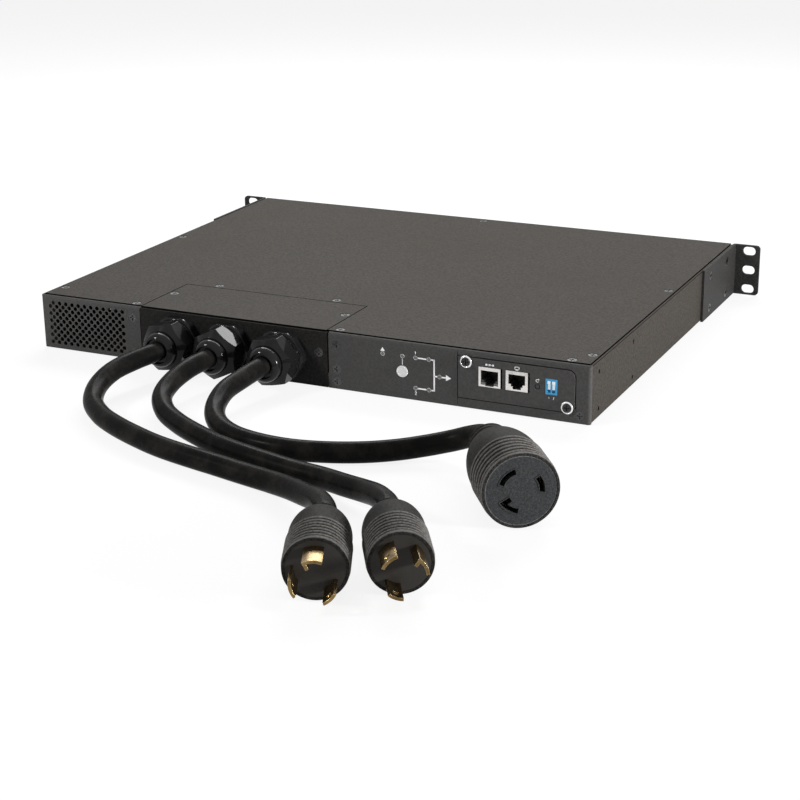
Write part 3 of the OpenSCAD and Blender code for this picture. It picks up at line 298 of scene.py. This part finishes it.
def powder_coat(name, level, warmth=0.02, rough=0.5, specular=0.03, speckle=1.0, painted_shade_above=None):
    """Fine-textured powder coat: a speckled, pebbled skin whose rounded edges are painted pale as a highlight.

    Upright faces above the height given as the last argument, in millimetres, are painted near black: painted
    shade for the seam they stand in.
    """
    f = Finish(name)
    pebble, grain, cloud = f.noise(1.7, 2, roughness=0.5), f.noise(0.9, 2), f.noise(70, 3)
    rounded = f.rounded(0.45)
    edge = f.edges(rounded)
    speck = pebble.step(0.3, 0.7) * 0.65 + grain.step(0.3, 0.7) * 0.35
    dark, pale = grey(level * (1 - 0.4 * speckle), warmth), grey(level * (1 + 0.5 * speckle), warmth)
    colour = f.blend(speck, dark, pale)
    colour = f.blend(cloud.step(0.35, 0.75) * 0.15, colour, grey(level * 1.25, warmth * 1.5))
    # painted highlight: the rounded edges are painted pale
    colour = f.blend(edge * 0.45, colour, grey(level * 2.8, warmth))
    # painted shade: upright faces above the seam height are painted near black
    if painted_shade_above:
        facing = f.node("ShaderNodeNewGeometry", output="True Normal")
        upright = 1 - f.node("ShaderNodeSeparateXYZ", None, (facing,), output=2).step(0.3, 0.5)
        above = f.coordinates()[2].step(painted_shade_above, painted_shade_above + 0.01)
        colour = f.blend(upright * above, colour, grey(0.002))
    return f.shade(base_color=colour, roughness=rough + (grain - 0.5) * 0.25 + (cloud - 0.5) * 0.1,
                   specular_ior_level=specular, normal=f.bumps(pebble + grain * 0.5, 0.06, rounded))


def moulded(name, colour, rough=0.35, grain_size=0.5, grain=0.01, wave=0.03, edge_r=0.3, specular=0.5):
    """Moulded plastic: a slight unevenness, a fine grain and softened edges."""
    f = Finish(name)
    fine, wide = f.noise(grain_size, 2), f.noise(9, 2)
    rounded = f.rounded(edge_r)
    pale = tuple(min(1, c * 1.25 + 0.01) for c in colour)
    dark = tuple(c * 0.85 for c in colour)
    tint = f.blend(fine * 0.5 + wide * 0.5, dark, pale)
    return f.shade(base_color=tint, roughness=rough + (wide - 0.5) * 0.12 + (fine - 0.5) * 0.1,
                   specular_ior_level=specular, normal=f.bumps(fine * grain + wide * wave, 1, rounded))


def cord_jacket(name):
    """Extruded rubber: satin, with a faint pebble, dull scuffs and fine dust."""
    f = Finish(name)
    pebble, scuff, dust = f.noise(0.8, 3), f.noise(14, 4, roughness=0.65), f.noise(0.35, 1)
    colour = f.blend(scuff.step(0.4, 0.75), grey(0.007, 0.03), grey(0.016, 0.08))
    colour = f.blend(dust.step(0.68, 0.8) * 0.3, colour, grey(0.04, 0.05))
    return f.shade(base_color=colour, roughness=0.22 + scuff.step(0.35, 0.8) * 0.16 + (pebble - 0.5) * 0.1,
                   specular_ior_level=0.014, normal=f.bumps(pebble * 0.02 + scuff * 0.1, 1))


def grip_rubber(name, cord, node, level=0.017, speckle=1.0, warmth=0.05):
    """Moulded rubber with a sand-blasted skin; the crests of its ribs are painted paler as a highlight."""
    f = Finish(name)
    sand, grit, wide = f.noise(1.3, 3, roughness=0.7), f.noise(0.7, 2), f.noise(12, 2)
    low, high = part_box(node)
    radius = (high.z - low.z) / 2 / MM
    start, ahead = cord_end(cord)
    crest_highlight = f.distance(start, ahead).step(radius - RIB, radius - RIB / 3)
    speck = sand.step(0.35, 0.7) * 0.6 + grit.step(0.35, 0.7) * 0.4
    dark, pale = grey(level * (1 - 0.7 * speckle), warmth), grey(level * (1 + 1.2 * speckle), warmth)
    colour = f.blend(speck, dark, pale)
    # painted highlight along the crests of the ribs
    colour = f.blend(crest_highlight * (0.35 + 0.65 * speck), colour, grey(level * (1 + 7.5 * speckle), warmth))
    return f.shade(base_color=colour, roughness=0.5 + (grit - 0.5) * 0.3 + (wide - 0.5) * 0.1,
                   specular_ior_level=0.02, normal=f.bumps(sand + grit * 0.6, 0.12, f.rounded(0.2)))


def plated(name, colour, rough, scratch=0.06, edge_r=0.15):
    """Bright plated metal with fine scratches and a cloudy shine."""
    f = Finish(name)
    lines = f.noise(0.6, 3, stretch=(1, 1, 14))
    cloud = f.noise(5, 3)
    dull = tuple(c * 0.72 for c in colour)
    tint = f.blend(cloud.step(0.4, 0.8) * 0.5, colour, dull)
    return f.shade(base_color=tint, metallic=1.0,
                   roughness=rough + (cloud - 0.5) * 0.16 + (lines - 0.5) * scratch,
                   normal=f.bumps(lines, 0.01, f.rounded(edge_r)))


def blade_brass(name):
    """Stamped brass: drawn lines, a shade of tarnish and bright rubbed edges."""
    f = Finish(name)
    lines, cloud = f.noise(0.5, 3, stretch=(1, 1, 10)), f.noise(6, 4, roughness=0.6)
    rounded = f.rounded(0.25)
    edge = f.edges(rounded)
    colour = f.blend(cloud.step(0.35, 0.7), (0.24, 0.165, 0.068), (0.11, 0.07, 0.028))
    colour = f.blend(edge * 0.85, colour, (0.85, 0.66, 0.34))
    return f.shade(base_color=colour, metallic=1.0, roughness=0.22 + cloud * 0.12 + (lines - 0.5) * 0.1,
                   normal=f.bumps(lines, 0.02, rounded))


def captive_plate(name):
    """Nickel-plated knob with a blackened screw in its middle."""
    f = Finish(name)
    low, high = (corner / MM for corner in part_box("captive_screws"))
    knob_r = 4.4
    axes = ((low.x + knob_r, high.z - knob_r), (high.x - knob_r, low.z + knob_r))
    across, _, up = f.coordinates()
    away = [((across - x) ** 2 + (up - z) ** 2) ** 0.5 for x, z in axes]
    shine = away[0].least(away[1]).step(3.1, 3.3)
    cloud = f.noise(3, 3)
    colour = f.blend(shine, grey(0.05), f.blend(cloud, grey(0.9), grey(0.7)))
    return f.shade(base_color=colour, metallic=1.0, roughness=0.34 - shine * 0.14 + (cloud - 0.5) * 0.1,
                   normal=f.rounded(0.25))


def solder_mask(name):
    """Green lacquer over copper tracks."""
    f = Finish(name)
    track = f.noise(3, 1, stretch=(1, 6, 1)).step(0.48, 0.52)
    colour = f.blend(track * 0.5, (0.012, 0.07, 0.03), (0.02, 0.13, 0.05))
    return f.shade(base_color=colour, roughness=0.3 + f.noise(0.8) * 0.1, normal=f.bumps(track, 0.03))


def laminations(name):
    """Varnished steel sheets on edge."""
    f = Finish(name)
    height = f.coordinates()[2]
    sheet = height.math("PINGPONG", height, 0.35) / 0.35
    colour = f.blend(sheet, grey(0.09, 0.15), grey(0.22, 0.12))
    return f.shade(base_color=colour, metallic=0.6, roughness=0.45 + f.noise(2) * 0.1, normal=f.bumps(sheet, 0.1))


def white_ink(name):
    """Screen-printed ink, a little patchy."""
    f = Finish(name)
    patchy = f.noise(0.4, 2)
    return f.shade(base_color=f.blend(patchy.step(0.3, 0.7), grey(0.82), grey(0.94)),
                   roughness=0.5 + patchy * 0.1)


FINISHES = {
    # the covers' upright edges are painted near black as the seam's shade
    "case_paint": powder_coat("case_paint", 0.029, 0.13, 0.5, 0.022, painted_shade_above=CASE_TOP / MM - COVER_EDGE),
    "panel_paint": powder_coat("panel_paint", 0.06, 0.02, 0.52, speckle=0.35),
    "gland_panel_paint": powder_coat("gland_panel_paint", 0.016, 0.04, 0.5, 0.03),
    "ear_paint": powder_coat("ear_paint", 0.024, 0.03, 0.5),
    "black_screw": plated("black_screw", grey(0.08), 0.28),
    "bright_screw": captive_plate("bright_screw"),
    "sheet_steel": plated("sheet_steel", grey(0.55), 0.38, 0.12),
    "jack_shell": plated("jack_shell", grey(0.72, 0.03), 0.26),
    "black_nylon": moulded("black_nylon", grey(0.018), 0.4),
    "gland_nylon": moulded("gland_nylon", (0.005, 0.005, 0.0055), 0.09, 0.7, 0.004, 0.05, 0.4, 0.12),
    "grey_plastic": moulded("grey_plastic", grey(0.68), 0.42, 0.4, 0.008, 0.02, 0.25),
    "blue_plastic": moulded("blue_plastic", (0.03, 0.25, 0.48), 0.3),
    "white_plastic": moulded("white_plastic", (0.72, 0.88, 0.97), 0.35),
    "lamp_plastic": moulded("lamp_plastic", grey(0.12), 0.15, edge_r=0.2),
    "board": solder_mask("board"),
    "cord_rubber": cord_jacket("cord_rubber"),
    "plug_rubber_a": grip_rubber("plug_rubber_a", "input_cord_a", "plug_body_a"),
    "plug_rubber_b": grip_rubber("plug_rubber_b", "input_cord_b", "plug_body_b"),
    "connector_rubber": grip_rubber("connector_rubber", "output_cord", "connector_body", 0.02),
    "connector_nylon": grip_rubber("connector_nylon", "output_cord", "connector_face", 0.034, 0.45, -0.03),
    "plug_face": moulded("plug_face", grey(0.022, 0.1), 0.42, 0.8, 0.02, 0.04, 0.2, 0.08),
    "seal_rubber": moulded("seal_rubber", grey(0.012), 0.6),
    "brass": blade_brass("brass"),
    "block_plastic": moulded("block_plastic", grey(0.03, 0.1), 0.5),
    "lead_cover": moulded("lead_cover", grey(0.02), 0.35),
    "sink_alloy": plated("sink_alloy", grey(0.6), 0.4, 0.15),
    "core_steel": laminations("core_steel"),
    "fuse_ceramic": moulded("fuse_ceramic", grey(0.72, 0.06), 0.25),
    "capacitor_film": moulded("capacitor_film", grey(0.25), 0.35),
    "white_ink": white_ink("white_ink"),
}

# Nodes whose finish is a kind of its own within their slot
OWN_FINISH = {
    "gland_panel": "gland_panel_paint", "plug_body_a": "plug_rubber_a", "plug_body_b": "plug_rubber_b",
    "connector_body": "connector_rubber", "connector_face": "connector_nylon",
}


def dress_nodes():
    """Gives every carried-over node the finish of its slot in the record, or its own kind of it."""
    for part in frame["record"]["subparts"]:
        for slot in frame["nodes"][part["node"]].material_slots:
            slot.material = FINISHES[OWN_FINISH.get(part["node"], part["material_slot"])]


# ---------- printed marks ----------

INK = 0.06              # thickness of the ink, in millimetres
LAMP_GAP = 1.9          # from a lamp's centre to the line beside it
LAMP_RING = 1.35, 1.5   # inner and outer radius of the ring round a lamp


class Print:
    """Flat marks on the connection side. x is across the case, z is up, in millimetres."""

    def __init__(self, plane):
        self.mesh, self.plane = bmesh.new(), plane

    def area(self, points):
        """A filled outline, as thick as the ink."""
        skin(self.mesh, [[Vector((x * MM, self.plane - depth * MM, z * MM)) for x, z in points]
                         for depth in (0.0, INK)])

    def line(self, a, b, width):
        a, b = Vector(a), Vector(b)
        side = (b - a).normalized() * (width / 2)
        side = Vector((-side.y, side.x))
        self.area([a + side, b + side, b - side, a - side])

    def ring(self, x, z, inner, outer, start=0, sweep=360, steps=32):
        """A ring or an arc of one, from an angle in degrees."""
        turns = [math.radians(start + sweep * k / steps) for k in range(steps + 1)]
        for a, b in zip(turns, turns[1:]):
            self.area([(x + r * math.cos(t), z + r * math.sin(t)) for r, t in
                       ((inner, a), (outer, a), (outer, b), (inner, b))])

    def numeral(self, digit, x, z, height):
        """1 or 2, drawn in strokes round a centre."""
        pen = height * 0.17
        w, h = height * 0.26, height / 2
        strokes = {
            1: [((-w * 0.7, h * 0.55), (0, h)), ((0, h), (0, -h))],
            2: [((-w, h * 0.55), (-w * 0.5, h)), ((-w * 0.5, h), (w * 0.6, h)),
                ((w * 0.6, h), (w, h * 0.5)), ((w, h * 0.5), (-w, -h)), ((-w, -h), (w, -h))],
        }[digit]
        for (x0, z0), (x1, z1) in strokes:
            self.line((x + x0, z + z0), (x + x1, z + z1), pen)

    def done(self, name):
        add_mesh(name, self.mesh, "white_ink", smooth=False)


def middle(node):
    """Centre of a node's box across the case and up it, in millimetres."""
    low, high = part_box(node)
    return (low.x + high.x) / 2 / MM, (low.z + high.z) / 2 / MM


def print_display():
    """The line diagram beside the button: two sources, a joining bar and the output arrow."""
    button_x, _ = middle("test_button")
    marks = Print(FRONT)
    source_x, live_x, bar_x, tip_x = (button_x + step for step in (10, 20, 24, 36.6))
    output_x, alarm_x = bar_x + 4, button_x - 15
    upper, lower, out = 31, 9, 19.5
    pen, fine_pen, numeral_h = 1.0, 0.4, 2.2
    for z in (upper, lower):
        marks.line((source_x + LAMP_GAP, z), (live_x - LAMP_GAP, z), pen)
        marks.line((live_x + LAMP_GAP, z), (bar_x, z), pen)
    marks.line((bar_x, upper + pen / 2), (bar_x, lower - pen / 2), pen)
    marks.line((bar_x, out), (bar_x + 2.2, out), pen)
    marks.line((bar_x + 5.8, out), (tip_x - 3.6, out), pen)
    marks.area([(tip_x - 3.8, out - 2.2), (tip_x, out), (tip_x - 3.8, out + 2.2)])
    marks.area([(alarm_x - 1.7, upper + LAMP_GAP), (alarm_x + 1.7, upper + LAMP_GAP), (alarm_x, upper + 4.6)])
    marks.line((button_x, upper - LAMP_GAP), (button_x, upper - 6.2), fine_pen)
    for x, z in ((button_x, upper), (alarm_x, upper), (source_x, upper), (live_x, upper),
                 (source_x, lower), (live_x, lower), (output_x, out)):
        marks.ring(x, z, *LAMP_RING)
    marks.numeral(1, source_x, upper + 3.6, numeral_h)
    marks.numeral(2, source_x, lower - 3.6, numeral_h)
    marks.done("display_print")


def print_card():
    """Small signs over the jacks and the recessed button, and numbers under the switch."""
    marks = Print(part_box("card_faceplate")[0].y)
    jack_x, _ = middle("network_jack")
    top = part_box("network_jack")[1].z / MM + 1.9
    box_step, box_w, box_h = 2.4, 0.7, 0.6
    for step in (-box_step, 0, box_step):
        marks.area([(jack_x + step + dx * box_w, top + dz * box_h)
                    for dx, dz in ((-1, -1), (1, -1), (1, 1), (-1, 1))])
    marks.line((jack_x - box_step, top), (jack_x + box_step, top), 0.3)
    local_x, _ = middle("local_jack")
    for a, b in (((-1.5, -0.5), (1.5, -0.5)), ((1.5, -0.5), (1.5, 1.2)), ((1.5, 1.2), (-1.5, 1.2)),
                 ((-1.5, 1.2), (-1.5, -0.5)), ((-0.9, -1.1), (0.9, -1.1))):
        marks.line((local_x + a[0], top + a[1]), (local_x + b[0], top + b[1]), 0.35)
    reset_x, reset_z = middle("reset_button")
    marks.ring(reset_x, reset_z + 4.2, 0.75, 1.1, start=60, sweep=270)
    marks.area([(reset_x + 0.2, reset_z + 4.8), (reset_x + 1.3, reset_z + 4.7), (reset_x + 0.9, reset_z + 5.7)])
    low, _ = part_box("dip_body")
    for number, slider in ((1, "dip_slider_1"), (2, "dip_slider_2")):
        marks.numeral(number, middle(slider)[0], low.z / MM - 1.6, 1.3)
    marks.done("card_print")


# ---------- studio ----------

FLOOR_REACH, FLOOR_Z = 6, -0.0002       # half its side and its height, in metres
FLOOR_GLOW = 0.86                       # share of plain white in what the camera sees of the floor
SHADE_LIGHT = 0.25                      # strength of the world where it only lights the part


def stage_material(name, colour, glow):
    """A matt surface that the camera, gloss and glass see nearly white, and that keeps a faint shadow."""
    f = Finish(name)
    f.shade(base_color=colour, roughness=0.9, specular_ior_level=0.1)
    light = f.node("ShaderNodeEmission", None, {"Color": (1, 1, 1, 1), "Strength": 1.0}, output="Emission")
    camera, glossy, through = (f.node("ShaderNodeLightPath", output="Is %s Ray" % kind)
                               for kind in ("Camera", "Glossy", "Transmission"))
    seen = (camera + glossy + through).least(1)
    both = f.node("ShaderNodeMixShader", None, {0: seen * glow, 1: Wire(f, f.shader.outputs[0]), 2: light})
    f.join(both, f.tree.nodes["Material Output"].inputs["Surface"])
    return f.material


def make_floor():
    mesh = bmesh.new()
    mesh.faces.new([mesh.verts.new((x * FLOOR_REACH, y * FLOOR_REACH, FLOOR_Z))
                    for x, y in ((-1, -1), (1, -1), (1, 1), (-1, 1))])
    data = bpy.data.meshes.new("floor")
    mesh.to_mesh(data)
    mesh.free()
    floor = bpy.data.objects.new("floor", data)
    bpy.context.scene.collection.objects.link(floor)
    data.materials.append(stage_material("floor_white", grey(0.9), FLOOR_GLOW))


def make_lamp(name, place, target, size, power):
    lamp = bpy.data.lights.new(name, "AREA")
    lamp.shape = "RECTANGLE"
    lamp.size, lamp.size_y = size
    lamp.energy = power
    holder = bpy.data.objects.new(name, lamp)
    holder.location = place
    holder.rotation_euler = (Vector(target) - Vector(place)).to_track_quat("-Z", "Y").to_euler()
    bpy.context.scene.collection.objects.link(holder)


def make_world():
    """A white studio for the camera, gloss and glass, which lights the part more softly."""
    world = bpy.data.worlds.new("studio")
    bpy.context.scene.world = world
    world.use_nodes = True
    tree = world.node_tree
    backdrop = tree.nodes["Background"]
    backdrop.inputs["Color"].default_value = (1, 1, 1, 1)
    path = tree.nodes.new("ShaderNodeLightPath")
    seen = path.outputs["Is Camera Ray"]
    for kind in ("Is Glossy Ray", "Is Transmission Ray"):
        either = tree.nodes.new("ShaderNodeMath")
        either.operation = "MAXIMUM"
        tree.links.new(seen, either.inputs[0])
        tree.links.new(path.outputs[kind], either.inputs[1])
        seen = either.outputs[0]
    strength = tree.nodes.new("ShaderNodeMapRange")
    strength.inputs["To Min"].default_value = SHADE_LIGHT
    strength.inputs["To Max"].default_value = 1.0
    tree.links.new(seen, strength.inputs["Value"])
    tree.links.new(strength.outputs["Result"], backdrop.inputs["Strength"])


def light_studio():
    make_lamp("overhead", (-0.2, 0.9, 0.95), (0, 0.0, 0), (1.4, 0.5), 24)
    make_lamp("left", (-0.9, -1.1, 0.9), (0, -0.2, 0), (0.16, 0.22), 13)
    make_lamp("right", (1.6, -0.25, 0.35), (0.1, 0, 0), (0.22, 0.22), 34)
    make_world()
    bpy.context.scene.view_settings.view_transform = "Standard"


# ---------- making ----------

for cord_name in ROUTES:
    make_cord(cord_name)
dress_nodes()
print_display()
print_card()
make_floor()
light_studio()
